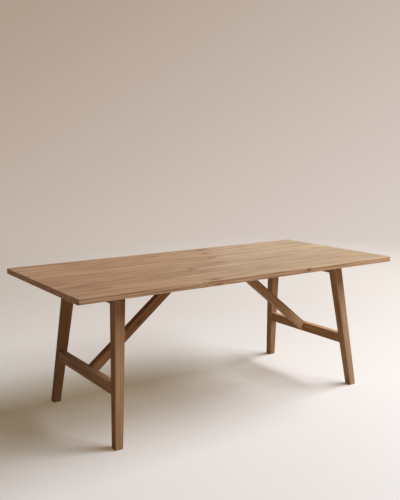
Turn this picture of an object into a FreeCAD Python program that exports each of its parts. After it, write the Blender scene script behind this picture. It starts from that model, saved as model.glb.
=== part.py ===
import FreeCAD, Part
import math
import os

# Folding trestle table. The origin is on the floor under the middle of the top,
# X runs along the length, -Y is the front and Z is up. All lengths are in millimetres.

# Top: edge-glued boards
table_height = 760.0
top_length = 2000.0
top_width = 900.0
top_thickness = 28.0
top_edge_round = 2.5
top_corner_round = 9.0
board_count = 7

# Legs: tapered, leaning outwards and splayed, measured to the leg's centre line
leg_top_reach_x = 715.0
leg_foot_reach_x = 781.0
leg_top_reach_y = 269.0
leg_foot_reach_y = 366.0
leg_top_size_x = 58.0
leg_top_size_y = 52.0
leg_foot_size_x = 40.0
leg_foot_size_y = 42.0
leg_edge_round = 2.0
leg_stop_gap = 0.4

# Rails: fixed under the top between the leg tops, and the screws that hold them
rail_thickness = 40.0
rail_height = 68.0
rail_end_gap = 2.0
rail_edge_round = 2.0
rail_screw_radius = 2.5
rail_screw_head_radius = 4.75
rail_screw_head_height = 3.0
rail_screw_grip = 30.0
rail_screw_bite = 20.0
rail_screw_well_radius = 5.5
rail_screw_shares = (-0.72, -0.36, 0.0, 0.36, 0.72)

# Pivot bolts: each leg turns on a bolt that is fixed in the end of its rail
pivot_drop = 32.0
pivot_swing_gap = 0.8
bolt_radius = 5.0
bolt_head_radius = 7.5
bolt_head_height = 6.0
bolt_socket_radius = 3.2
bolt_socket_depth = 3.5
bolt_bite = 45.0
bolt_sink = 1.0
bolt_well_radius = 10.0
washer_radius = 9.0
washer_thickness = 1.5
spacer_radius = 11.0
spacer_seat_margin = 0.6

# Stretchers: between the two legs of a trestle, tenoned into them
stretcher_bottom = 245.0
stretcher_height = 55.0
stretcher_thickness = 38.0
stretcher_setback = 8.5
stretcher_edge_round = 2.0
tenon_thickness = 16.0
tenon_height = 34.0
tenon_length = 28.0

# Braces: from the underside near the middle down to the stretcher, staggered side by side
brace_top_reach = 179.0
brace_foot_share = 0.63
brace_depth = 47.0
brace_thickness = 40.0
brace_side_gap = 3.0
brace_edge_round = 2.0
brace_top_gap = 0.4

# Notch in the stretcher that the foot of the brace leans into
notch_depth = 9.6
notch_slope_degrees = 13.0
notch_side_gap = 0.75
notch_seat_gap = 0.4

# Hinge at the top of each brace, with its screws
hinge_offset = 5.0
hinge_width = 36.0
knuckle_radius = 4.5
knuckle_gap = 0.4
knuckle_count = 3
pin_radius = 2.0
leaf_length = 40.0
leaf_thickness = 2.5
leaf_screw_radius = 1.75
leaf_screw_head_radius = 3.5
leaf_screw_head_height = 1.8
leaf_screw_bite = 12.0
brace_screw_bite_share = 0.75
leaf_screw_along_shares = (0.45, 0.45, 0.8)
leaf_screw_across_shares = (-0.3, 0.3, 0.0)

# Magnetic catch: the magnet sits in the notch and the strike in the foot of the brace
magnet_radius = 8.0
magnet_thickness = 8.0
strike_radius = 8.0
strike_thickness = 2.0

# Fits
running_gap = 0.08
fixed_gap = 0.05
tenon_gap = 0.15
face_gap = 0.3
overrun = 120.0

V = FreeCAD.Vector
X_AXIS = V(1, 0, 0)
Y_AXIS = V(0, 1, 0)
Z_AXIS = V(0, 0, 1)
ORIGIN = V(0, 0, 0)

underside = table_height - top_thickness


def leg_at(z):
    """Centre and size of the leg's level section at a height."""
    rise = z / underside
    return (
        leg_foot_reach_x + (leg_top_reach_x - leg_foot_reach_x) * rise,
        leg_foot_reach_y + (leg_top_reach_y - leg_foot_reach_y) * rise,
        leg_foot_size_x + (leg_top_size_x - leg_foot_size_x) * rise,
        leg_foot_size_y + (leg_top_size_y - leg_foot_size_y) * rise,
    )


def leg_inner_y(z):
    """How far the leg's inner side stands from the middle of the trestle."""
    section = leg_at(z)
    return section[1] - section[3] / 2


def leg_outer_y(z):
    """How far the leg's outer side stands from the middle of the trestle."""
    section = leg_at(z)
    return section[1] + section[3] / 2


def span_box(x0, x1, y0, y1, z0, z1):
    """Box between two corners."""
    return Part.makeBox(x1 - x0, y1 - y0, z1 - z0, V(x0, y0, z0))


def tilted_box(x0, x1, y0, y1, z0, z1, place, degrees):
    """Box whose X axis dips by an angle, set at a place."""
    box = span_box(x0, x1, y0, y1, z0, z1)
    box.Placement = FreeCAD.Placement(place, FreeCAD.Rotation(Y_AXIS, degrees)).multiply(box.Placement)
    return box


def rod_y(radius, x, z, y0, y1):
    """Round bar along Y between two places."""
    return Part.makeCylinder(radius, abs(y1 - y0), V(x, min(y0, y1), z), Y_AXIS)


def long_edges(shape, least):
    """Edges longer than a given length."""
    return [edge for edge in shape.Edges if edge.Length > least]


def level_corners(x0, x1, y0, y1, z):
    """Corners of a level rectangle, clockwise from above."""
    return [V(x0, y1, z), V(x1, y1, z), V(x1, y0, z), V(x0, y0, z)]


def flat_solid(low, high):
    """Closed solid with flat sides between two level rectangles."""
    outlines = [low, high]
    for index in range(len(low)):
        follow = (index + 1) % len(low)
        outlines.append([low[index], low[follow], high[follow], high[index]])
    faces = [Part.Face(Part.makePolygon(outline + outline[:1])) for outline in outlines]
    return Part.makeSolid(Part.makeShell(faces))


def half_turn(shape):
    """The same piece on the left side: turned half round about the middle of the table."""
    turned = shape.copy()
    turned.rotate(ORIGIN, Z_AXIS, 180)
    return turned


def on_both_sides(shapes):
    """Pieces of the right side with their copies on the left side."""
    return shapes + [half_turn(shape) for shape in shapes]


# Pivot line of the right trestle
pivot_z = underside - pivot_drop
pivot_x = leg_at(pivot_z)[0]
rail_half_length = leg_inner_y(underside) - rail_end_gap
spacer_seat = leg_inner_y(pivot_z - spacer_radius - spacer_seat_margin)
bolt_stack = face_gap + washer_thickness + bolt_head_height + bolt_sink
bolt_well_floor = leg_outer_y(pivot_z + bolt_well_radius) - bolt_stack

# Stretcher faces of the right trestle
stretcher_top = stretcher_bottom + stretcher_height
stretcher_middle = stretcher_bottom + stretcher_height / 2
stretcher_section = leg_at(stretcher_middle)
stretcher_inner = stretcher_section[0] - stretcher_section[2] / 2 + stretcher_setback
stretcher_outer = stretcher_inner + stretcher_thickness
stretcher_centre = (stretcher_inner + stretcher_outer) / 2

# Centre line of the right brace
brace_y = (brace_thickness + brace_side_gap) / 2
brace_foot_z = stretcher_bottom + stretcher_height * brace_foot_share
brace_drop = underside - brace_foot_z
brace_run = stretcher_inner - brace_top_reach
brace_slope = math.atan2(brace_drop, brace_run)
brace_degrees = math.degrees(brace_slope)
brace_length = math.hypot(brace_drop, brace_run)
brace_top = V(brace_top_reach, brace_y, underside)

# Hinge axis of the right brace: equally far from the underside and from the brace
hinge_z = underside - hinge_offset
hinge_corner_x = brace_top_reach - brace_depth / 2 / math.sin(brace_slope)
hinge_x = hinge_corner_x + hinge_offset / math.tan(brace_slope) - hinge_offset / math.sin(brace_slope)
hinge_place = V(hinge_x, brace_y, hinge_z)

# Sloping seat of the brace's foot
notch_place = V(stretcher_inner + notch_depth, brace_y, stretcher_top)
notch_rotation = FreeCAD.Rotation(Y_AXIS, notch_slope_degrees)
notch_inward = notch_rotation.multVec(X_AXIS)
notch_upward = notch_rotation.multVec(Z_AXIS)
catch_place = notch_place - notch_upward * (stretcher_height / 2 / math.cos(math.radians(notch_slope_degrees)))

# Screws that hold the right rail: placed along it, heads sunk in wells from below
rail_screw_seat = underside - rail_screw_grip
rail_screws = []
rail_screw_holes = []
for share in rail_screw_shares:
    place = V(pivot_x, share * rail_half_length, rail_screw_seat)
    head_place = place - Z_AXIS * rail_screw_head_height
    shank_length = rail_screw_grip + rail_screw_bite
    shank = Part.makeCylinder(rail_screw_radius, shank_length, place)
    head = Part.makeCylinder(rail_screw_head_radius, rail_screw_head_height, head_place)
    rail_screws.append(shank.fuse(head))
    hole = Part.makeCylinder(rail_screw_radius + fixed_gap, shank_length + fixed_gap, place)
    well = Part.makeCylinder(rail_screw_well_radius, rail_height, place - Z_AXIS * rail_height)
    rail_screw_holes.append(hole.fuse(well))

# Pivot bolts, washers and spacers of the right trestle
bolts = []
washers = []
spacers = []
bolt_holes = []
for side in (-1, 1):
    washer_foot = bolt_well_floor + face_gap
    head_foot = washer_foot + washer_thickness
    head_end = head_foot + bolt_head_height
    bolt_start = rail_half_length - bolt_bite
    shank = rod_y(bolt_radius, pivot_x, pivot_z, side * bolt_start, side * head_foot)
    head = rod_y(bolt_head_radius, pivot_x, pivot_z, side * head_foot, side * head_end)
    socket = rod_y(bolt_socket_radius, pivot_x, pivot_z, side * (head_end - bolt_socket_depth), side * head_end)
    bolts.append(shank.fuse(head).cut(socket))
    washer = rod_y(washer_radius, pivot_x, pivot_z, side * washer_foot, side * head_foot)
    washer_bore = rod_y(bolt_radius + running_gap, pivot_x, pivot_z, side * washer_foot, side * head_foot)
    washers.append(washer.cut(washer_bore))
    spacer_end = spacer_seat - face_gap
    spacer = rod_y(spacer_radius, pivot_x, pivot_z, side * rail_half_length, side * spacer_end)
    spacer_bore = rod_y(bolt_radius + running_gap, pivot_x, pivot_z, side * rail_half_length, side * spacer_end)
    spacers.append(spacer.cut(spacer_bore))
    hole_start = bolt_start - fixed_gap
    bolt_holes.append(rod_y(bolt_radius + fixed_gap, pivot_x, pivot_z, side * hole_start, side * rail_half_length))

# Right rail
rail = span_box(
    pivot_x - rail_thickness / 2, pivot_x + rail_thickness / 2,
    -rail_half_length, rail_half_length,
    underside - rail_height, underside,
)
rail_foot_edges = [edge for edge in long_edges(rail, rail_half_length) if edge.CenterOfMass.z < pivot_z]
rail = rail.makeFillet(rail_edge_round, rail_foot_edges)
rail = rail.cut(rail_screw_holes + bolt_holes)


# Right rear leg, with its pivot bore, seats and mortise; the front leg is its mirror image
leg_outlines = []
for z in (0.0, underside - leg_stop_gap):
    x, y, size_x, size_y = leg_at(z)
    leg_outlines.append(level_corners(x - size_x / 2, x + size_x / 2, y - size_y / 2, y + size_y / 2, z))
rear_leg = flat_solid(leg_outlines[0], leg_outlines[1])
rear_leg = rear_leg.makeFillet(leg_edge_round, long_edges(rear_leg, underside / 2))

# The inner top corner is rounded about the pivot so that it swings clear of the top
corner = span_box(pivot_x - overrun, pivot_x, 0.0, leg_foot_reach_y, pivot_z, pivot_z + overrun)
swing = rod_y(pivot_drop - pivot_swing_gap, pivot_x, pivot_z, 0.0, leg_foot_reach_y)
bore = rod_y(bolt_radius + running_gap, pivot_x, pivot_z, 0.0, leg_foot_reach_y)
well = rod_y(bolt_well_radius, pivot_x, pivot_z, bolt_well_floor, leg_foot_reach_y)
seat = rod_y(spacer_radius + spacer_seat_margin, pivot_x, pivot_z, 0.0, spacer_seat)
tenon_half = leg_inner_y(stretcher_middle) + tenon_length
mortise = span_box(
    stretcher_centre - tenon_thickness / 2 - tenon_gap, stretcher_centre + tenon_thickness / 2 + tenon_gap,
    0.0, tenon_half + tenon_gap,
    stretcher_middle - tenon_height / 2 - tenon_gap, stretcher_middle + tenon_height / 2 + tenon_gap,
)
rear_leg = rear_leg.cut([corner.cut(swing), bore, well, seat, mortise])
front_leg = rear_leg.mirror(ORIGIN, Y_AXIS)

# Right stretcher: ends cut to the splay of the legs, with a tenon at each end
low_half = leg_inner_y(stretcher_bottom)
high_half = leg_inner_y(stretcher_top)
stretcher = flat_solid(
    level_corners(stretcher_inner, stretcher_outer, -low_half, low_half, stretcher_bottom),
    level_corners(stretcher_inner, stretcher_outer, -high_half, high_half, stretcher_top),
)
stretcher = stretcher.makeFillet(stretcher_edge_round, long_edges(stretcher, high_half))
tenons = span_box(
    stretcher_centre - tenon_thickness / 2, stretcher_centre + tenon_thickness / 2,
    -tenon_half, tenon_half,
    stretcher_middle - tenon_height / 2, stretcher_middle + tenon_height / 2,
)
notch_half = brace_thickness / 2 + notch_side_gap
notch = tilted_box(-overrun, 0.0, -notch_half, notch_half, -overrun, overrun, notch_place, notch_slope_degrees)
magnet = Part.makeCylinder(magnet_radius, magnet_thickness, catch_place, notch_inward)
magnet_seat = Part.makeCylinder(magnet_radius + fixed_gap, magnet_thickness, catch_place, notch_inward)
stretcher = stretcher.fuse(tenons).cut([notch, magnet_seat])


# The screws in the brace reach through a share of the wood between the leaf and the underside
nearest_screw = min(leaf_screw_along_shares) * leaf_length
brace_screw_rise = hinge_offset + nearest_screw * math.sin(brace_slope)
brace_screw_wood = brace_screw_rise / math.cos(brace_slope) - hinge_offset
brace_screw_bite = brace_screw_wood * brace_screw_bite_share


def make_leaf(degrees, moving, screw_bite):
    """Hinge leaf with its knuckles, built on the hinge axis and dipped by an angle."""
    top_face = hinge_offset
    low_face = hinge_offset - leaf_thickness
    leaf = span_box(0.0, leaf_length, -hinge_width / 2, hinge_width / 2, low_face, top_face)
    pitch = hinge_width / knuckle_count
    for index in range(knuckle_count):
        start = index * pitch - hinge_width / 2
        own = (index % 2 == 1) == moving
        if own:
            low_end = start + (knuckle_gap / 2 if index > 0 else 0.0)
            high_end = start + pitch - (knuckle_gap / 2 if index < knuckle_count - 1 else 0.0)
            leaf = leaf.fuse(rod_y(knuckle_radius, 0.0, 0.0, low_end, high_end))
        else:
            clear = knuckle_radius + knuckle_gap
            low_end = start - knuckle_gap / 2
            high_end = start + pitch + knuckle_gap / 2
            leaf = leaf.cut(span_box(-clear, clear, low_end, high_end, -clear, clear + hinge_offset))
    pin_gap = running_gap if moving else fixed_gap
    leaf = leaf.cut(rod_y(pin_radius + pin_gap, 0.0, 0.0, -hinge_width, hinge_width))
    screws = []
    holes = []
    for along, across in zip(leaf_screw_along_shares, leaf_screw_across_shares):
        place = V(along * leaf_length, across * hinge_width, low_face)
        bite = leaf_thickness + screw_bite
        shank = Part.makeCylinder(leaf_screw_radius, bite, place)
        head = Part.makeCylinder(
            leaf_screw_head_radius, leaf_screw_head_height, place - Z_AXIS * leaf_screw_head_height
        )
        screws.append(shank.fuse(head))
        holes.append(Part.makeCylinder(leaf_screw_radius + fixed_gap, bite + fixed_gap, place))
    leaf = leaf.cut(holes)
    turn = FreeCAD.Placement(hinge_place, FreeCAD.Rotation(Y_AXIS, degrees))
    for shape in [leaf] + screws + holes:
        shape.Placement = turn.multiply(shape.Placement)
    return leaf, screws, holes


# The fixed leaf lies on the underside and points to the middle, so it is the mirror of a leaf along +X
fixed_leaf, fixed_screws, fixed_holes = make_leaf(0.0, False, leaf_screw_bite)
mirror_place = V(hinge_x, 0.0, 0.0)
fixed_leaf = fixed_leaf.mirror(mirror_place, X_AXIS)
fixed_screws = [screw.mirror(mirror_place, X_AXIS) for screw in fixed_screws]
fixed_holes = [hole.mirror(mirror_place, X_AXIS) for hole in fixed_holes]
moving_leaf, moving_screws, moving_holes = make_leaf(brace_degrees, True, brace_screw_bite)
pin = rod_y(pin_radius, hinge_x, hinge_z, brace_y - hinge_width / 2, brace_y + hinge_width / 2)

# Right brace: top end level with the underside, foot cut to the sloping seat
brace = tilted_box(
    -overrun, brace_length + overrun,
    -brace_thickness / 2, brace_thickness / 2,
    -brace_depth / 2, brace_depth / 2,
    brace_top, brace_degrees,
)
brace = brace.makeFillet(brace_edge_round, long_edges(brace, brace_length))
above_top = span_box(
    brace_top_reach - brace_length, brace_top_reach + brace_length,
    brace_y - overrun, brace_y + overrun,
    underside - brace_top_gap, underside + brace_length,
)
past_seat = tilted_box(
    -notch_seat_gap, brace_length, -overrun, overrun, -brace_length, brace_length, notch_place, notch_slope_degrees
)
strike_face = catch_place - notch_inward * notch_seat_gap
strike = Part.makeCylinder(strike_radius, strike_thickness, strike_face, notch_inward * -1)
strike_seat = Part.makeCylinder(strike_radius + fixed_gap, strike_thickness, strike_face, notch_inward * -1)
brace = brace.cut([above_top, past_seat, strike_seat] + moving_holes)

# Top boards: one slab with rounded corners and eased edges, divided along its length
slab = span_box(
    -top_length / 2, top_length / 2,
    -top_width / 2, top_width / 2,
    underside, table_height,
)
corner_edges = [edge for edge in slab.Edges if edge.BoundBox.ZLength > top_thickness / 2]
slab = slab.makeFillet(top_corner_round, corner_edges)
rim_edges = [edge for edge in slab.Edges if edge.BoundBox.ZLength < top_thickness / 2]
slab = slab.makeFillet(top_edge_round, rim_edges)
slab = slab.cut(on_both_sides(rail_screw_holes + fixed_holes))
board_width = top_width / board_count
boards = []
for index in range(board_count):
    front_side = index * board_width - top_width / 2
    strip = span_box(
        -top_length / 2, top_length / 2,
        front_side, front_side + board_width,
        underside, table_height,
    )
    boards.append(slab.common(strip))

# Every node with its solids
nodes = {}
for index, board in enumerate(boards):
    nodes["top_board_%d" % (index + 1)] = [board]
nodes["right_rail"] = [rail]
nodes["left_rail"] = [half_turn(rail)]
nodes["rail_screws"] = on_both_sides(rail_screws)
nodes["pivot_bolts"] = on_both_sides(bolts)
nodes["pivot_washers"] = on_both_sides(washers)
nodes["pivot_spacers"] = on_both_sides(spacers)
nodes["right_hinge_plate"] = [fixed_leaf]
nodes["left_hinge_plate"] = [half_turn(fixed_leaf)]
nodes["right_hinge_pin"] = [pin]
nodes["left_hinge_pin"] = [half_turn(pin)]
nodes["hinge_plate_screws"] = on_both_sides(fixed_screws)
nodes["right_front_leg"] = [front_leg]
nodes["right_rear_leg"] = [rear_leg]
nodes["right_stretcher"] = [stretcher]
nodes["right_catch_magnet"] = [magnet]
nodes["left_front_leg"] = [half_turn(rear_leg)]
nodes["left_rear_leg"] = [half_turn(front_leg)]
nodes["left_stretcher"] = [half_turn(stretcher)]
nodes["left_catch_magnet"] = [half_turn(magnet)]
nodes["right_brace"] = [brace]
nodes["right_hinge_leaf"] = [moving_leaf]
nodes["right_hinge_leaf_screws"] = moving_screws
nodes["right_strike"] = [strike]
nodes["left_brace"] = [half_turn(brace)]
nodes["left_hinge_leaf"] = [half_turn(moving_leaf)]
nodes["left_hinge_leaf_screws"] = [half_turn(screw) for screw in moving_screws]
nodes["left_strike"] = [half_turn(strike)]

os.makedirs("parts", exist_ok=True)
for name, solids in nodes.items():
    shape = solids[0] if len(solids) == 1 else Part.makeCompound(solids)
    shape.exportStep("parts/%s.step" % name)

print("fold pivot x %.4f z %.4f" % (pivot_x, pivot_z))
print("brace hinge x %.4f z %.4f turn %.4f" % (hinge_x, hinge_z, 180 - brace_degrees))
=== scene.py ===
import math

import bpy
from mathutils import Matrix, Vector


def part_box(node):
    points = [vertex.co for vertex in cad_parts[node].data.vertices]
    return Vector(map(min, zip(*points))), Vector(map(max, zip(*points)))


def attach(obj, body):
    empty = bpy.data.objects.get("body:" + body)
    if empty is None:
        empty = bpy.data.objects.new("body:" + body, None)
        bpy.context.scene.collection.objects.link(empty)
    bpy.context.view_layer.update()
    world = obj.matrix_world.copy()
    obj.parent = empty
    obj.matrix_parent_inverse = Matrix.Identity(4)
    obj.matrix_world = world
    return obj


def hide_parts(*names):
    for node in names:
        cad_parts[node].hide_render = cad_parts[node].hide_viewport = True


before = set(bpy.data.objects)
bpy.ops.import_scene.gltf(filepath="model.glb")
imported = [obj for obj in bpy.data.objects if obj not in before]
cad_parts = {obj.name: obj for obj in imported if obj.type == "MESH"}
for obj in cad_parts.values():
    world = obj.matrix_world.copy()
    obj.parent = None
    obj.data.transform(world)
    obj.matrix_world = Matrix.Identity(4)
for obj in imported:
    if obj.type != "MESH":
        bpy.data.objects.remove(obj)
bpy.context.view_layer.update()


# Table top
# Seven softwood boards, edge-glued into one slab, sanded flush and oiled to a satin finish.
# The glue lines hardly show, the edges are lightly eased, and most boards carry a knot or two.

def paint(code):
    """Linear colour of a six-figure colour code."""
    parts = [int(code[i:i + 2], 16) / 255 for i in (0, 2, 4)]
    return tuple(c / 12.92 if c <= 0.04045 else ((c + 0.055) / 1.055) ** 2.4 for c in parts) + (1.0,)


def wire(tree, node, inputs):
    """Wires or sets the inputs of a node."""
    for key, value in inputs.items():
        if isinstance(value, bpy.types.NodeSocket):
            tree.links.new(value, node.inputs[key])
        else:
            node.inputs[key].default_value = value


def join(tree, kind, inputs, out=0, **options):
    """Adds a node, sets its options, wires or sets its inputs, and gives back one of its outputs."""
    made = tree.nodes.new(kind)
    for name, value in options.items():
        setattr(made, name, value)
    wire(tree, made, inputs)
    return made.outputs[out]


def sums(tree, operation, *values):
    """Math node on plain numbers."""
    return join(tree, "ShaderNodeMath", dict(enumerate(values)), operation=operation)


def vectors(tree, operation, *values):
    """Vector Math node; a scale factor goes in by name."""
    named = {"Scale" if operation == "SCALE" and i == 1 else i: v for i, v in enumerate(values)}
    single = operation in ("LENGTH", "DOT_PRODUCT")
    return join(tree, "ShaderNodeVectorMath", named, "Value" if single else "Vector", operation=operation)


def ramp(tree, value, low, high, start=0.0, end=1.0):
    """Smooth step from start to end while the value goes from low to high."""
    inputs = {"Value": value, "From Min": low, "From Max": high, "To Min": start, "To Max": end}
    return join(tree, "ShaderNodeMapRange", inputs, interpolation_type="SMOOTHSTEP")


def blend(tree, share, first, second, kind="MIX"):
    """Mix of two colours."""
    return join(tree, "ShaderNodeMix", {0: share, 6: first, 7: second}, 2, data_type="RGBA", blend_type=kind)


def cloud(tree, place, stretch, detail=2.0, out="Fac"):
    """Noise that is drawn out along the axes with the smaller stretch."""
    spread = vectors(tree, "MULTIPLY", place, stretch)
    return join(tree, "ShaderNodeTexNoise", {"Vector": spread, "Scale": 1.0, "Detail": detail}, out)


def split(tree, vector):
    """X, Y and Z of a vector."""
    return join(tree, "ShaderNodeSeparateXYZ", {"Vector": vector}).node.outputs


def inset(tree, half, offset):
    """Distance in from the nearer of two faces, which stand half a size from the middle."""
    return sums(tree, "SUBTRACT", half, sums(tree, "ABSOLUTE", offset))


def start_group(name, inputs, outputs):
    """Shader node group with named inputs and outputs."""
    tree = bpy.data.node_groups.new(name, "ShaderNodeTree")
    for label, kind in inputs:
        tree.interface.new_socket(label, in_out="INPUT", socket_type="NodeSocket" + kind)
    for label in outputs:
        kind = "Vector" if label == "Place" else "Float"
        tree.interface.new_socket(label, in_out="OUTPUT", socket_type="NodeSocket" + kind)
    return tree, tree.nodes.new("NodeGroupInput").outputs, tree.nodes.new("NodeGroupOutput").inputs


def use_group(tree, group, inputs):
    """Places a node group and gives back all its outputs."""
    return join(tree, "ShaderNodeGroup", inputs, node_tree=group).node.outputs


# Growth rings about the tree's heart, which sway a little along the grain; the grain runs along X
seed_step = (3.71, 1.37, 2.13)
sway_scale, sway_reach = (0.9, 5.0, 5.0), 0.05
wobble_scale, wobble_years = (2.6, 34.0, 34.0), 0.8
late_from, late_full, late_end = 0.25, 0.9, 0.93
faintest_year = 0.35
across_grain = (0.0, 1.0, 1.0)

# Figure of the wood: how it is drawn out, its detail, and the noise value where it starts to show
figures = [
    ("Streaks", (2.8, 120.0, 120.0), 4.0, 0.3),
    ("Fibres", (13.0, 950.0, 950.0), 2.0, 0.28),
    ("Drift", (0.8, 8.0, 8.0), 2.0, 0.25),
]
timber_grain, given, result = start_group(
    "timber_grain",
    [("Place", "Vector"), ("Seed", "Float"), ("Heart", "Vector"), ("Ring", "Float")],
    ["Rings", "Streaks", "Fibres", "Drift"],
)
tree = timber_grain
spot = vectors(tree, "ADD", given["Place"], vectors(tree, "SCALE", seed_step, given["Seed"]))
sway = vectors(tree, "SUBTRACT", cloud(tree, spot, sway_scale, out="Color"), (0.5, 0.5, 0.5))
swayed = vectors(tree, "ADD", given["Place"], vectors(tree, "SCALE", sway, sway_reach))
from_heart = vectors(tree, "MULTIPLY", vectors(tree, "SUBTRACT", swayed, given["Heart"]), across_grain)
age = sums(tree, "DIVIDE", vectors(tree, "LENGTH", from_heart), given["Ring"])
year = sums(tree, "ADD", age, sums(tree, "MULTIPLY", cloud(tree, spot, wobble_scale), wobble_years))
within = sums(tree, "FRACT", year)
grown = ramp(tree, within, late_from, late_full)
late = sums(tree, "MULTIPLY", grown, ramp(tree, within, late_end, 1.0, 1.0, 0.0))
draw = sums(tree, "ADD", sums(tree, "FLOOR", year), given["Seed"])
luck = join(tree, "ShaderNodeTexWhiteNoise", {"W": draw}, "Value", noise_dimensions="1D")
tree.links.new(sums(tree, "MULTIPLY", late, ramp(tree, luck, 0.0, 1.0, faintest_year, 1.0)), result["Rings"])
for label, scale, detail, start in figures:
    tree.links.new(ramp(tree, cloud(tree, spot, scale, detail), start, 1.0 - start), result[label])


def bell(tree, value, fall):
    """Falls off from 1 as the value grows."""
    return sums(tree, "EXPONENT", sums(tree, "MULTIPLY", sums(tree, "POWER", value, 2.0), -fall))


# One knot: the grain flows round it, the wood about it is stained, and its core is dark
flow_fall, flow_share = 0.16, 0.85
ragged_scale, ragged_reach = (120.0, 190.0, 190.0), 0.7
core_full, core_end = 0.55, 1.15
stain_fall = 0.22
timber_knot, given, result = start_group(
    "timber_knot",
    [("Place", "Vector"), ("Core", "Float"), ("Stain", "Float"), ("Board", "Float"),
     ("Own Board", "Float"), ("Centre", "Vector"), ("Radius", "Float"), ("Length", "Float"),
     ("Branch", "Vector"), ("Strength", "Float")],
    ["Place", "Core", "Stain"],
)
tree = timber_knot
away = vectors(tree, "MULTIPLY", vectors(tree, "SUBTRACT", given["Place"], given["Centre"]), given["Branch"])
reach = {"X": given["Length"], "Y": given["Radius"], "Z": given["Radius"]}
near = vectors(tree, "LENGTH", vectors(tree, "DIVIDE", away, join(tree, "ShaderNodeCombineXYZ", reach)))
own = sums(tree, "COMPARE", given["Board"], given["Own Board"], 0.5)
pull = sums(tree, "MULTIPLY", sums(tree, "MULTIPLY", bell(tree, near, flow_fall), own), flow_share)
drawn = vectors(tree, "SCALE", vectors(tree, "MULTIPLY", away, across_grain), pull)
tree.links.new(vectors(tree, "SUBTRACT", given["Place"], drawn), result["Place"])
ragged = sums(tree, "MULTIPLY", cloud(tree, given["Place"], ragged_scale), ragged_reach)
rim = sums(tree, "ADD", near, sums(tree, "SUBTRACT", ragged, ragged_reach / 2))
shown = sums(tree, "MULTIPLY", own, given["Strength"])
core = sums(tree, "MULTIPLY", ramp(tree, rim, core_full, core_end, 1.0, 0.0), shown)
stain = sums(tree, "MULTIPLY", bell(tree, rim, stain_fall), shown)
tree.links.new(sums(tree, "MAXIMUM", given["Core"], core), result["Core"])
tree.links.new(sums(tree, "MAXIMUM", given["Stain"], stain), result["Stain"])

# Eased edges: show where two faces are near at once, from the distances to three pairs of faces
edge_line, edge_width = 0.0004, 0.004
one_face, two_faces = 1.05, 1.9
far_face = 1.0
eased_edges, given, result = start_group(
    "eased_edges",
    [("First", "Float"), ("Second", "Float"), ("Third", "Float"), ("Width", "Float")],
    ["Edge"],
)
tree = eased_edges
meeting = 0.0
for label in ("First", "Second", "Third"):
    meeting = sums(tree, "ADD", ramp(tree, given[label], edge_line, given["Width"], 1.0, 0.0), meeting)
tree.links.new(ramp(tree, meeting, one_face, two_faces), result["Edge"])

# How much each mark of the timber counts in its colour, relief and gloss
grain_shares = (("Rings", 0.32), ("Streaks", 0.42), ("Fibres", 0.16), ("Drift", 0.16))
middle_range, dark_range = (0.2, 0.52), (0.46, 0.9)
end_facing, end_share = (0.6, 0.9), 0.06
# The edges are blended towards the light tone as a painted highlight
edge_highlight_share, stain_share, seam_share = 0.28, 0.6, 0.55
ring_relief, fibre_relief, knot_relief, seam_relief = -0.35, -0.5, -0.4, -0.8
streak_gloss, edge_gloss = 0.1, -0.06
relief_strength, relief_height = 0.35, 0.0006
oil_index = 1.36


def timber(tree, place, grown, knots, board, along, edge, tint, tones, rough, seam=None):
    """Oiled timber: colour, gloss and relief from the grain, the knots, the end grain and the edges, whose
    lighter colour is a painted highlight.
    """
    core = stain = 0.0
    for centre, radius, length, branch, strength, own_board in knots:
        knot = use_group(tree, timber_knot, {
            "Place": place, "Core": core, "Stain": stain, "Board": board, "Own Board": own_board,
            "Centre": centre, "Radius": radius, "Length": length, "Branch": branch, "Strength": strength})
        place, core, stain = knot["Place"], knot["Core"], knot["Stain"]
    grain = use_group(tree, timber_grain, {"Place": place, **grown})
    depth = 0.0
    for label, share in grain_shares:
        depth = sums(tree, "MULTIPLY_ADD", grain[label], share, depth)
    light, middle, dark, stained, knotted = [paint(tone) for tone in tones]
    wood = blend(tree, ramp(tree, depth, *middle_range), light, middle)
    wood = blend(tree, ramp(tree, depth, *dark_range), wood, dark)
    wood = blend(tree, 1.0, wood, tint, "MULTIPLY")
    if along is not None:
        normal = join(tree, "ShaderNodeTexCoord", {}, "Normal")
        facing = sums(tree, "ABSOLUTE", vectors(tree, "DOT_PRODUCT", normal, along))
        wood = blend(tree, sums(tree, "MULTIPLY", ramp(tree, facing, *end_facing), end_share), wood, dark)
    # Edges drawn lighter: a painted highlight
    wood = blend(tree, sums(tree, "MULTIPLY", edge, edge_highlight_share), wood, light)
    wood = blend(tree, sums(tree, "MULTIPLY", stain, stain_share), wood, stained)
    wood = blend(tree, core, wood, knotted)
    relief = sums(tree, "MULTIPLY", grain["Fibres"], fibre_relief)
    relief = sums(tree, "MULTIPLY_ADD", grain["Rings"], ring_relief, relief)
    relief = sums(tree, "MULTIPLY_ADD", core, knot_relief, relief)
    if seam is not None:
        wood = blend(tree, sums(tree, "MULTIPLY", seam, seam_share), wood, dark)
        relief = sums(tree, "MULTIPLY_ADD", seam, seam_relief, relief)
    gloss = sums(tree, "MULTIPLY_ADD", grain["Streaks"], streak_gloss, rough)
    gloss = sums(tree, "MULTIPLY_ADD", edge, edge_gloss, gloss)
    bump = {"Height": relief, "Strength": relief_strength, "Distance": relief_height}
    wire(tree, tree.nodes["Principled BSDF"], {
        "Base Color": wood, "Roughness": gloss, "IOR": oil_index,
        "Normal": join(tree, "ShaderNodeBump", bump)})


def new_material(name):
    """Fresh node material with its tree and the place on the piece."""
    made = bpy.data.materials.new(name)
    made.use_nodes = True
    return made, made.node_tree, join(made.node_tree, "ShaderNodeTexCoord", {}, "Object")


def finish_nodes(material, *names):
    """Gives CAD nodes their finish."""
    for name in names:
        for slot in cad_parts[name].material_slots:
            slot.material = material


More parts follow.
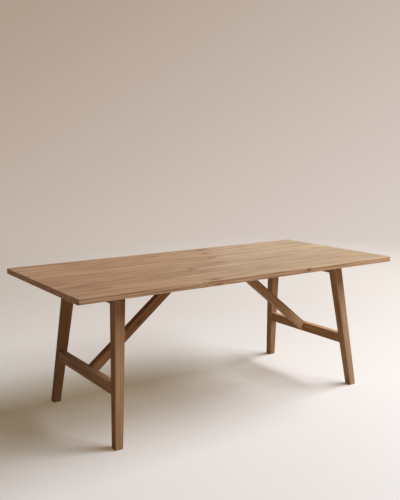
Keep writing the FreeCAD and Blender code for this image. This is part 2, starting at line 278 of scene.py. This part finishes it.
board_count = 7
board_names = ["top_board_%d" % (i + 1) for i in range(board_count)]
top_low, top_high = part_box(board_names[0])[0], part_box(board_names[-1])[1]
top_middle, top_half = (top_low + top_high) / 2, (top_high - top_low) / 2
board_width = (top_high.y - top_low.y) / board_count
board_tones = ("c5a07d", "a98262", "7b573c", "8d552c", "6e3d15")
board_rough = 0.44
board_ring, board_seed, board_draw = 0.0065, 5.7, 4.3
heart_side, heart_low, heart_high = 0.07, 0.60, 0.70
seam_start, seam_full = 0.0014, 0.0003
deep_board, pale_board = (0.93, 0.92, 0.90, 1.0), (1.04, 1.05, 1.06, 1.0)
# Side and end faces of the slab are drawn paler by their facing: painted light for the light on the front
# edge and the bounce light on the ends
painted_side_light, painted_end_light = (1.17, 1.22, 1.28, 1.0), (1.55, 1.42, 1.15, 1.0)
painted_light_facing = (0.4, 0.8)

# Branches: the axes along which the distance to the knot counts
branch_up, branch_short = (1.0, 1.0, 0.0), (1.0, 1.0, 1.0)

# Knots: centre, radius across the grain, length along it and how strongly it shows
top_knots = [
    ((0.230, 0.405), 0.016, 0.030, 1.0), ((0.161, 0.262), 0.013, 0.024, 1.0),
    ((0.095, 0.116), 0.014, 0.026, 1.0), ((0.045, -0.036), 0.010, 0.034, 1.0),
    ((-0.195, -0.114), 0.013, 0.022, 1.0), ((-0.247, -0.172), 0.010, 0.020, 0.9),
    ((-0.187, -0.222), 0.009, 0.024, 0.7), ((-0.262, -0.425), 0.015, 0.030, 1.0),
    ((-0.670, 0.325), 0.010, 0.045, 0.5), ((-0.617, -0.150), 0.009, 0.034, 0.4),
    ((-0.849, -0.205), 0.012, 0.022, 0.3), ((-0.925, -0.104), 0.005, 0.040, 0.6),
    ((-0.219, 0.170), 0.007, 0.030, 0.3), ((0.560, 0.035), 0.007, 0.018, 0.3),
    ((0.742, -0.270), 0.006, 0.016, 0.3),
]
front_edge_knot = ((0.340, top_low.y, 0.749), 0.007, 0.012, branch_short, 0.75)
knots = [((x, y, 0.0), radius, length, branch_up, shown) for (x, y), radius, length, shown in top_knots]
knots.append(front_edge_knot)
own_boards = [math.floor((centre[1] - top_low.y) / board_width + 1e-6) for centre, *_ in knots]
knots = [(*knot, own_board) for knot, own_board in zip(knots, own_boards)]

oiled_boards, tree, place = new_material("oiled_boards")
at = split(tree, place)
board = sums(tree, "FLOOR", sums(tree, "DIVIDE", sums(tree, "SUBTRACT", at["Y"], top_low.y), board_width))
board_middle = sums(tree, "MULTIPLY_ADD", sums(tree, "ADD", board, 0.5), board_width, top_low.y)
draw = sums(tree, "ADD", board, board_draw)
luck = split(tree, join(tree, "ShaderNodeTexWhiteNoise", {"W": draw}, "Color", noise_dimensions="1D"))
heart = join(tree, "ShaderNodeCombineXYZ", {
    "Y": sums(tree, "ADD", board_middle, ramp(tree, luck["X"], 0.0, 1.0, -heart_side, heart_side)),
    "Z": ramp(tree, luck["Y"], 0.0, 1.0, heart_low, heart_high)})
seam = sums(tree, "ABSOLUTE", sums(tree, "SUBTRACT", at["Y"], board_middle))
seam = ramp(tree, seam, board_width / 2 - seam_start, board_width / 2 - seam_full)
inside = sums(tree, "LESS_THAN", sums(tree, "ABSOLUTE", at["Y"]), top_high.y - edge_width)
edge = use_group(tree, eased_edges, {
    "Width": edge_width,
    "First": inset(tree, top_half.x, at["X"]),
    "Second": inset(tree, top_half.y, at["Y"]),
    "Third": inset(tree, top_half.z, sums(tree, "SUBTRACT", at["Z"], top_middle.z))})["Edge"]
tint = blend(tree, luck["Z"], deep_board, pale_board)
normal = split(tree, join(tree, "ShaderNodeTexCoord", {}, "Normal"))
# Paler side and end faces: painted light
for axis, face_tint in (("Y", painted_side_light), ("X", painted_end_light)):
    tint = blend(tree, ramp(tree, sums(tree, "ABSOLUTE", normal[axis]), *painted_light_facing), tint, face_tint)
timber(
    tree, place, {"Seed": sums(tree, "MULTIPLY", board, board_seed), "Heart": heart, "Ring": board_ring},
    knots, board, (1.0, 0.0, 0.0), edge, tint, board_tones, board_rough,
    sums(tree, "MULTIPLY", seam, inside))
finish_nodes(oiled_boards, *board_names)


# Rails and stretchers
# Straight bars across the table: a rail screwed under the top at each end, and a stretcher
# tenoned between the two legs of each trestle. Same timber as the legs, grain along the bar.
frame_tones = ("c09a76", "ae8560", "8a6446", "744d35", "432a1c")
frame_rough = 0.6
rail_low, rail_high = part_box("right_rail")
rail_middle, rail_half = (rail_low + rail_high) / 2, (rail_high - rail_low) / 2
bar_low, bar_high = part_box("right_stretcher")
bar_middle, bar_half = (bar_low + bar_high) / 2, (bar_high - bar_low) / 2
bar_heart, bar_ring = (0.0, 0.05, -0.06), 0.005
rail_seed, end_seed = 3.1, 1.9
# The stretchers are drawn paler as painted light for the bounce light on their shaded sides, and the rails
# under the top a touch darker as painted shade
stretcher_painted_light, rail_painted_shade = (1.22, 1.27, 1.3, 1.0), (0.95, 0.95, 0.95, 1.0)
branch_aside = (1.0, 0.0, 1.0)
any_bar = 0.0
bar_knot = ((0.11, 0.0, 0.004), 0.006, 0.013, branch_aside, 0.6, any_bar)

cross_bars, tree, place = new_material("cross_bars")
at = split(tree, place)
upper = sums(tree, "GREATER_THAN", at["Z"], (rail_low.z + bar_high.z) / 2)


def for_bar(stretcher, rail):
    """The stretcher's value low down, and the rail's under the top."""
    return ramp(tree, upper, 0.0, 1.0, stretcher, rail)


bar_x = sums(tree, "SUBTRACT", sums(tree, "ABSOLUTE", at["X"]), for_bar(bar_middle.x, rail_middle.x))
bar_z = sums(tree, "SUBTRACT", at["Z"], for_bar(bar_middle.z, rail_middle.z))
bar_place = join(tree, "ShaderNodeCombineXYZ", {"X": at["Y"], "Y": bar_x, "Z": bar_z})
edge = use_group(tree, eased_edges, {
    "Width": edge_width,
    "First": inset(tree, for_bar(bar_half.x, rail_half.x), bar_x),
    "Second": inset(tree, for_bar(bar_half.z, rail_half.z), bar_z),
    "Third": far_face})["Edge"]
seed = sums(tree, "MULTIPLY", sums(tree, "SIGN", at["X"]), end_seed)
seed = sums(tree, "MULTIPLY_ADD", upper, rail_seed, seed)
# Paler stretchers and darker rails: painted light and shade
timber(
    tree, bar_place, {"Seed": seed, "Heart": bar_heart, "Ring": bar_ring}, [bar_knot], any_bar,
    (0.0, 1.0, 0.0), edge, blend(tree, upper, stretcher_painted_light, rail_painted_shade), frame_tones, frame_rough)
finish_nodes(cross_bars, "right_rail", "left_rail", "right_stretcher", "left_stretcher")


# Rail screws
# Plated steel wood screws with a low crowned head and a cross recess, driven up through the rails
# from wells in their underside, so that they pull the rails to the top.
def start_tree(name, inputs):
    """Geometry node tree with named inputs and one mesh in and out."""
    tree = bpy.data.node_groups.new(name, "GeometryNodeTree")
    tree.interface.new_socket("Seats", in_out="INPUT", socket_type="NodeSocketGeometry")
    for label, kind in inputs:
        tree.interface.new_socket(label, in_out="INPUT", socket_type="NodeSocket" + kind)
    tree.interface.new_socket("Mesh", in_out="OUTPUT", socket_type="NodeSocketGeometry")
    return tree, tree.nodes.new("NodeGroupInput").outputs, tree.nodes.new("NodeGroupOutput").inputs


head_sides, shank_sides = 28, 20
slot_share = 0.26
fixings, given, result = start_tree("fixings", [
    ("Head Radius", "Float"), ("Head Height", "Float"), ("Crown Radius", "Float"), ("Shank Radius", "Float"),
    ("Shank Length", "Float"), ("Tip Radius", "Float"), ("Recess Width", "Float"), ("Recess Depth", "Float"),
    ("Hex Recess", "Bool"), ("Finish", "Material")])
tree = fixings
head = join(tree, "GeometryNodeMeshCone", {
    "Vertices": head_sides, "Radius Top": given["Crown Radius"], "Radius Bottom": given["Head Radius"],
    "Depth": given["Head Height"]})
head = join(tree, "GeometryNodeTransform", {"Geometry": head, "Rotation": (math.pi, 0.0, 0.0)})
shank = join(tree, "GeometryNodeMeshCone", {
    "Vertices": shank_sides, "Radius Top": given["Tip Radius"], "Radius Bottom": given["Shank Radius"],
    "Depth": given["Shank Length"]})
cutter_depth = sums(tree, "MULTIPLY", given["Recess Depth"], 2.0)
slot_size = join(tree, "ShaderNodeCombineXYZ", {
    "X": given["Recess Width"], "Y": sums(tree, "MULTIPLY", given["Recess Width"], slot_share),
    "Z": cutter_depth})
slot = join(tree, "GeometryNodeMeshCube", {"Size": slot_size})
crossed = join(tree, "GeometryNodeTransform", {"Geometry": slot, "Rotation": (0.0, 0.0, math.pi / 2)})
cross = join(tree, "GeometryNodeMeshBoolean", {"Mesh 2": crossed}, operation="UNION")
tree.links.new(slot, cross.node.inputs["Mesh 2"])
hexagon = join(tree, "GeometryNodeMeshCylinder", {
    "Vertices": 6, "Radius": sums(tree, "DIVIDE", given["Recess Width"], 2.0), "Depth": cutter_depth})
choice = {"Switch": given["Hex Recess"], "False": cross, "True": hexagon}
recess = join(tree, "GeometryNodeSwitch", choice, input_type="GEOMETRY")
lift = join(tree, "ShaderNodeCombineXYZ", {"Z": sums(tree, "MULTIPLY", given["Head Height"], -1.0)})
recess = join(tree, "GeometryNodeTransform", {"Geometry": recess, "Translation": lift})
cut = join(tree, "GeometryNodeMeshBoolean", {"Mesh 1": head, "Mesh 2": recess}, operation="DIFFERENCE")
whole = join(tree, "GeometryNodeJoinGeometry", {0: shank})
tree.links.new(cut, whole.node.inputs[0])
bite = join(tree, "GeometryNodeInputNamedAttribute", {"Name": "bite"}, data_type="FLOAT_VECTOR")
turn = join(tree, "FunctionNodeAlignRotationToVector", {"Vector": bite}, axis="Z")
points = join(tree, "GeometryNodeMeshToPoints", {"Mesh": given["Seats"]})
placing = {"Points": points, "Instance": whole, "Rotation": turn}
solid = join(tree, "GeometryNodeRealizeInstances", {
    "Geometry": join(tree, "GeometryNodeInstanceOnPoints", placing)})
dressed = join(tree, "GeometryNodeSetMaterial", {"Geometry": solid, "Material": given["Finish"]})
tree.links.new(dressed, result["Mesh"])


def drive(name, node, body, slot, seats, **sizes):
    """Puts a fixing at each seat, pointing along its bite, in place of a CAD node."""
    mesh = bpy.data.meshes.new(name)
    mesh.from_pydata([seat for seat, _ in seats], [], [])
    attribute = mesh.attributes.new("bite", "FLOAT_VECTOR", "POINT")
    for item, (_, direction) in zip(attribute.data, seats):
        item.vector = direction
    piece = bpy.data.objects.new(name, mesh)
    bpy.context.scene.collection.objects.link(piece)
    modifier = piece.modifiers.new("fixings", "NODES")
    modifier.node_group = fixings
    sockets = {s.name: s.identifier for s in fixings.interface.items_tree if s.in_out == "INPUT"}
    for label, value in sizes.items():
        modifier[sockets[label.replace("_", " ")]] = value
    plain = bpy.data.meshes.new_from_object(piece.evaluated_get(bpy.context.evaluated_depsgraph_get()))
    piece.modifiers.remove(modifier)
    piece.data = plain
    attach(piece, body)
    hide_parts(node)


# Zinc plate: grey, a little cloudy, with fine handling marks
bloom_scale, bloom_detail, bloom_range = (90.0, 90.0, 90.0), 4.0, (0.3, 0.7)
mark_scale, mark_range = (260.0, 2400.0, 900.0), (0.52, 0.7)
mark_strength, mark_height = 0.1, 0.0001
plate_gloss, mark_gloss = (0.27, 0.4), 0.16
plated_steel, tree, place = new_material("plated_steel")
bloom = cloud(tree, place, bloom_scale, bloom_detail)
marks = ramp(tree, cloud(tree, place, mark_scale), *mark_range)
gloss = sums(tree, "MULTIPLY_ADD", marks, mark_gloss, ramp(tree, bloom, *bloom_range, *plate_gloss))
bump = {"Height": marks, "Strength": mark_strength, "Distance": mark_height}
wire(tree, tree.nodes["Principled BSDF"], {
    "Metallic": 1.0,
    "Base Color": blend(tree, bloom, paint("8f9092"), paint("c2c2c0")),
    "Roughness": gloss,
    "Normal": join(tree, "ShaderNodeBump", bump)})

rail_screw_low, rail_screw_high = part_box("rail_screws")
rail_screw_head = 0.003
rail_screw_seat = rail_screw_low.z + rail_screw_head
rail_screw_shares = (-0.72, -0.36, 0.0, 0.36, 0.72)
rail_screw_seats = []
for x in (rail_middle.x, -rail_middle.x):
    for share in rail_screw_shares:
        rail_screw_seats.append(((x, share * rail_high.y, rail_screw_seat), (0.0, 0.0, 1.0)))
drive("rail_screw_set", "rail_screws", "top", "plated_steel", rail_screw_seats,
      Head_Radius=0.00475, Head_Height=rail_screw_head, Crown_Radius=0.0034, Shank_Radius=0.0025,
      Shank_Length=rail_screw_high.z - rail_screw_seat, Tip_Radius=0.0006,
      Recess_Width=0.0046, Recess_Depth=0.0018, Hex_Recess=False, Finish=plated_steel)


# Pivot bolts, washers and spacers
# Each leg turns on a steel socket bolt in the end of its rail, over a plated washer in the leg's well
# and a pale nylon spacer that keeps the splayed leg clear of the rail.
bolt_low, bolt_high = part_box("pivot_bolts")
bolt_head, bolt_hold = 0.006, 0.045
bolt_x, bolt_z = rail_middle.x, (bolt_low.z + bolt_high.z) / 2
bolt_seat = bolt_high.y - bolt_head
bolt_seats = [((x, y * bolt_seat, bolt_z), (0.0, -y, 0.0)) for x in (bolt_x, -bolt_x) for y in (1.0, -1.0)]
drive("pivot_bolt_set", "pivot_bolts", "top", "plated_steel", bolt_seats,
      Head_Radius=0.0075, Head_Height=bolt_head, Crown_Radius=0.0069, Shank_Radius=0.005,
      Shank_Length=bolt_seat - (rail_high.y - bolt_hold), Tip_Radius=0.0042,
      Recess_Width=0.0064, Recess_Depth=0.0035, Hex_Recess=True, Finish=plated_steel)
finish_nodes(plated_steel, "pivot_washers")

mottle_scale, mottle_detail, mottle_range = (600.0, 600.0, 600.0), 3.0, (0.2, 0.8)
nylon_gloss = (0.42, 0.56)
spacer_nylon, tree, place = new_material("spacer_nylon")
mottle = cloud(tree, place, mottle_scale, mottle_detail)
wire(tree, tree.nodes["Principled BSDF"], {
    "Base Color": blend(tree, mottle, paint("d8d2c4"), paint("ece7db")),
    "Roughness": ramp(tree, mottle, *mottle_range, *nylon_gloss)})
finish_nodes(spacer_nylon, "pivot_spacers")


# Legs
# Four tapered legs that lean outwards and splay, sawn from the same timber with the grain along the leg.
# Their edges are lightly rounded; a well near the top hides the head of the pivot bolt.
leg_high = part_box("right_rear_leg")[1]
foot_half_x, foot_half_y = 0.020, 0.021
head_half_x, head_half_y = 0.029, 0.026
foot_x, foot_y = leg_high.x - foot_half_x, leg_high.y - foot_half_y
head_x, head_y = 0.715, 0.269
leg_heart, leg_ring = (0.0, -0.07, 0.05), 0.0055
# The right front leg is drawn paler as painted light for the front light on it, and the rear legs darker as
# painted shade from the table's shadow
plain_leg, lit_leg_painted_light, rear_leg = (1.0, 1.0, 1.0, 1.0), (1.05, 1.18, 1.3, 1.0), (0.88, 0.86, 0.84, 1.0)

# Each leg has a number of its own, from its end and its side of the table
end_part, side_part = 2.3, 4.1
right_front, left_rear, left_front = end_part - side_part, side_part - end_part, -end_part - side_part
leg_knots = [
    ((0.505, 0.006, 0.0), 0.006, 0.013, branch_up, 0.3, left_rear),
    ((0.190, 0.0, -0.004), 0.005, 0.011, branch_aside, 0.6, left_front),
]
oiled_legs, tree, place = new_material("oiled_legs")
at = split(tree, place)
rise = sums(tree, "DIVIDE", at["Z"], leg_high.z)


def tapered(foot, head):
    """A size or place that goes evenly from the leg's foot to its head."""
    return sums(tree, "MULTIPLY_ADD", rise, head - foot, foot)


leg_x = sums(tree, "SUBTRACT", sums(tree, "ABSOLUTE", at["X"]), tapered(foot_x, head_x))
leg_y = sums(tree, "SUBTRACT", sums(tree, "ABSOLUTE", at["Y"]), tapered(foot_y, head_y))
leg_place = join(tree, "ShaderNodeCombineXYZ", {"X": at["Z"], "Y": leg_x, "Z": leg_y})
edge = use_group(tree, eased_edges, {
    "Width": edge_width,
    "First": inset(tree, tapered(foot_half_x, head_half_x), leg_x),
    "Second": inset(tree, tapered(foot_half_y, head_half_y), leg_y),
    "Third": at["Z"]})["Edge"]
leg = sums(tree, "MULTIPLY", sums(tree, "SIGN", at["Y"]), side_part)
leg = sums(tree, "MULTIPLY_ADD", sums(tree, "SIGN", at["X"]), end_part, leg)
# Paler right front leg and darker rear legs: painted light and shade
tint = blend(tree, sums(tree, "COMPARE", leg, right_front, 0.1), plain_leg, lit_leg_painted_light)
tint = blend(tree, sums(tree, "GREATER_THAN", at["Y"], 0.0), tint, rear_leg)
timber(
    tree, leg_place, {"Seed": leg, "Heart": leg_heart, "Ring": leg_ring}, leg_knots, leg,
    (0.0, 0.0, 1.0), edge, tint, frame_tones, frame_rough)
finish_nodes(oiled_legs, "right_front_leg", "right_rear_leg", "left_front_leg", "left_rear_leg")


# Braces
# One sloping bar at each end, hinged under the top near the middle and leaning into a notch in the stretcher.
# The two lie side by side about the table's centre line, so that they pass each other when folded.
hinge_low, hinge_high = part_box("right_hinge_pin")
hinge = (hinge_low + hinge_high) / 2
hinge_offset = 0.005
slope = math.radians(38.8015)
down_brace = Vector((math.cos(slope), 0.0, -math.sin(slope)))
up_face = Vector((math.sin(slope), 0.0, math.cos(slope)))
brace_low, brace_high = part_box("right_brace")
brace_depth, brace_half = 0.047, (brace_high.y - brace_low.y) / 2
brace_middle = hinge.dot(up_face) + hinge_offset + brace_depth / 2
brace_heart, brace_ring, brace_seed = (0.0, 0.06, -0.05), 0.005, 7.7
# The left brace, in the shade under the top, is drawn darker as painted shade, and the right brace paler as
# painted light
left_brace_painted_shade, right_brace_painted_light = (0.94, 0.88, 0.84, 1.0), (1.1, 1.18, 1.28, 1.0)
left_end = -1.0
brace_knot = ((0.062, 0.0, -0.003), 0.008, 0.020, branch_aside, 0.5, left_end)

oiled_braces, tree, place = new_material("oiled_braces")
at = split(tree, place)
end = sums(tree, "SIGN", at["X"])
turned = join(tree, "ShaderNodeCombineXYZ", {
    "X": sums(tree, "ABSOLUTE", at["X"]), "Y": sums(tree, "MULTIPLY", at["Y"], end), "Z": at["Z"]})
brace_along = vectors(tree, "DOT_PRODUCT", turned, down_brace)
brace_across = sums(tree, "SUBTRACT", split(tree, turned)["Y"], hinge.y)
brace_over = sums(tree, "SUBTRACT", vectors(tree, "DOT_PRODUCT", turned, up_face), brace_middle)
brace_place = join(tree, "ShaderNodeCombineXYZ", {"X": brace_along, "Y": brace_across, "Z": brace_over})
edge = use_group(tree, eased_edges, {
    "Width": edge_width,
    "First": inset(tree, brace_half, brace_across),
    "Second": inset(tree, brace_depth / 2, brace_over),
    "Third": far_face})["Edge"]
# Darker left brace and paler right brace: painted shade and light
tint = blend(tree, sums(tree, "GREATER_THAN", at["X"], 0.0), left_brace_painted_shade, right_brace_painted_light)
seed = sums(tree, "MULTIPLY", end, brace_seed)
timber(
    tree, brace_place, {"Seed": seed, "Heart": brace_heart, "Ring": brace_ring}, [brace_knot], end,
    None, edge, tint, frame_tones, frame_rough)
finish_nodes(oiled_braces, "right_brace", "left_brace")


# Brace hinges and catches
# Plated butt hinges carry the braces, each leaf held by three small screws. A nickel magnet let into the
# notch and a steel strike in the brace's foot keep the brace in place.
hinge_nodes = ["hinge_plate", "hinge_pin", "hinge_leaf", "strike"]
finish_nodes(plated_steel, *["%s_%s" % (side, part) for side in ("right", "left") for part in hinge_nodes])
leaf_thickness = 0.0025
plate_bite, brace_bite = 0.0145, 0.0144
leaf_sizes = dict(
    Head_Radius=0.0035, Head_Height=0.0018, Crown_Radius=0.0022, Shank_Radius=0.00175, Tip_Radius=0.0005,
    Recess_Width=0.0034, Recess_Depth=0.0011, Hex_Recess=False, Finish=plated_steel)

# Screw holes: how far along the leaf from the pin, and how far from its middle line
leaf_holes = [(0.018, -0.0108), (0.018, 0.0108), (0.032, 0.0)]
plate_seats, leaf_seats = [], {"right": [], "left": []}
for side, name in ((1.0, "right"), (-1.0, "left")):
    for along, across in leaf_holes:
        plate = hinge + Vector((-along, across, leaf_thickness))
        leaf = hinge + down_brace * along + Vector((0.0, across, 0.0)) + up_face * leaf_thickness
        plate_seats.append(((side * plate.x, side * plate.y, plate.z), (0.0, 0.0, 1.0)))
        leaf_seats[name].append(((side * leaf.x, side * leaf.y, leaf.z), (side * up_face.x, 0.0, up_face.z)))
drive("hinge_plate_screw_set", "hinge_plate_screws", "top", "plated_steel", plate_seats,
      Shank_Length=plate_bite, **leaf_sizes)
for name, seats in leaf_seats.items():
    drive(name + "_leaf_screw_set", name + "_hinge_leaf_screws", name + "_brace", "plated_steel", seats,
          Shank_Length=brace_bite, **leaf_sizes)

haze_scale, haze_detail, haze_range = (300.0, 300.0, 300.0), 3.0, (0.3, 0.7)
nickel_gloss = (0.16, 0.28)
magnet_nickel, tree, place = new_material("magnet_nickel")
haze = cloud(tree, place, haze_scale, haze_detail)
wire(tree, tree.nodes["Principled BSDF"], {
    "Metallic": 1.0,
    "Base Color": blend(tree, haze, paint("b9b5ab"), paint("d8d5cd")),
    "Roughness": ramp(tree, haze, *haze_range, *nickel_gloss)})
finish_nodes(magnet_nickel, "right_catch_magnet", "left_catch_magnet")


# Studio
# A pale floor fades into a seamless warm backdrop. A large soft light stands on the right, a weaker one in
# front, and a low one behind the right end gives the top its sheen. The camera stands as for the photograph.
floor_radius, floor_sides = 9.0, 96
speck_scale, speck_detail = (40.0, 40.0, 40.0), 4.0
floor_rough, floor_shine = 0.9, 0.1
floor_fade = (2.6, 7.5)
away_from_camera, far_range = (0.567, 0.824, 0.0), (-0.4, 2.8)
turns = [i * math.tau / floor_sides for i in range(floor_sides)]
rim = [(floor_radius * math.cos(turn), floor_radius * math.sin(turn), 0.0) for turn in turns]
floor_mesh = bpy.data.meshes.new("floor")
floor_mesh.from_pydata(rim, [], [list(range(floor_sides))])
floor = bpy.data.objects.new("floor", floor_mesh)
bpy.context.scene.collection.objects.link(floor)


def shown_rays(tree):
    """Rays that carry a surface to the camera: straight, mirrored or through something clear."""
    light_path = tree.nodes.new("ShaderNodeLightPath").outputs
    seen = sums(tree, "MAXIMUM", light_path["Is Camera Ray"], light_path["Is Glossy Ray"])
    return sums(tree, "MAXIMUM", seen, light_path["Is Transmission Ray"])


floor_paint, tree, place = new_material("floor_paint")
seen = shown_rays(tree)
speck = cloud(tree, place, speck_scale, speck_detail)
pale_floor = blend(tree, speck, paint("dbdcdf"), paint("e0e1e5"))
depth = ramp(tree, vectors(tree, "DOT_PRODUCT", place, away_from_camera), *far_range)
pale_floor = blend(tree, depth, pale_floor, paint("ccc9c9"))
surface = tree.nodes["Principled BSDF"]
wire(tree, surface, {
    "Base Color": blend(tree, seen, paint("c4b095"), pale_floor),
    "Roughness": floor_rough, "Specular IOR Level": floor_shine,
    "Emission Color": paint("6c5d43"), "Emission Strength": seen})
behind = join(tree, "ShaderNodeNewGeometry", {}, "Backfacing")
gone = sums(tree, "MAXIMUM", ramp(tree, vectors(tree, "LENGTH", place), *floor_fade), behind)
clear = join(tree, "ShaderNodeBsdfTransparent", {})
mixed = join(tree, "ShaderNodeMixShader", {0: gone, 1: surface.outputs[0], 2: clear})
tree.links.new(mixed, tree.nodes["Material Output"].inputs["Surface"])
floor_mesh.materials.append(floor_paint)

backdrop_slope = (0.23, -0.16, -0.45)
backdrop_low, backdrop_high = -0.15, 0.3
ambient_strength = 0.07
world = bpy.data.worlds.new("studio")
bpy.context.scene.world = world
world.use_nodes = True
tree = world.node_tree
pale = vectors(tree, "DOT_PRODUCT", join(tree, "ShaderNodeTexCoord", {}, "Generated"), backdrop_slope)
pale = join(tree, "ShaderNodeMapRange", {"Value": pale, "From Min": backdrop_low, "From Max": backdrop_high})
backdrop = blend(tree, pale, paint("b19e8f"), paint("eee5e0"))
ambient = join(tree, "ShaderNodeBackground", {"Color": paint("ffdeba"), "Strength": ambient_strength})
shown = join(tree, "ShaderNodeBackground", {"Color": backdrop, "Strength": 1.0})
both = join(tree, "ShaderNodeMixShader", {0: shown_rays(tree), 1: ambient, 2: shown})
tree.links.new(both, tree.nodes["World Output"].inputs["Surface"])


def lamp(name, spot, target, size, power, code):
    """Soft light panel at a spot, aimed at a target."""
    data = bpy.data.lights.new(name, "AREA")
    data.shape = "RECTANGLE"
    data.size, data.size_y = size
    data.energy = power
    data.color = paint(code)[:3]
    made = bpy.data.objects.new(name, data)
    made.location = spot
    made.rotation_euler = (Vector(target) - Vector(spot)).to_track_quat("-Z", "Y").to_euler()
    made.visible_camera = False
    bpy.context.scene.collection.objects.link(made)


lamp("window_light", (9.2, -2.1, 8.25), (0.0, 0.0, 0.5), size=(7.2, 4.4), power=1660.0, code="fcfcff")
lamp("front_light", (4.2, -4.8, 5.0), (0.3, -0.3, 0.4), size=(3.0, 1.8), power=210.0, code="fcfcff")
lamp("sheen_light", (5.2, 4.6, 2.2), (0.7, 0.0, 0.76), size=(3.4, 2.0), power=36.0, code="e2fbe4")

# The camera's focal length and turns were fitted to the straight edges in the photograph
photo_height, focal_pixels = 500, 677.19
camera_dip, camera_turn = 8.669, -34.544
camera_data = bpy.data.cameras.new("photo_camera")
camera_data.sensor_width = 36.0
camera_data.lens = focal_pixels / photo_height * camera_data.sensor_width
camera = bpy.data.objects.new("photo_camera", camera_data)
camera.location = (-2.1645, -3.0591, 1.4002)
camera.rotation_euler = (math.radians(90.0 - camera_dip), 0.0, math.radians(camera_turn))
bpy.context.scene.collection.objects.link(camera)
bpy.context.scene.camera = camera
bpy.context.scene.view_settings.view_transform = "Standard"
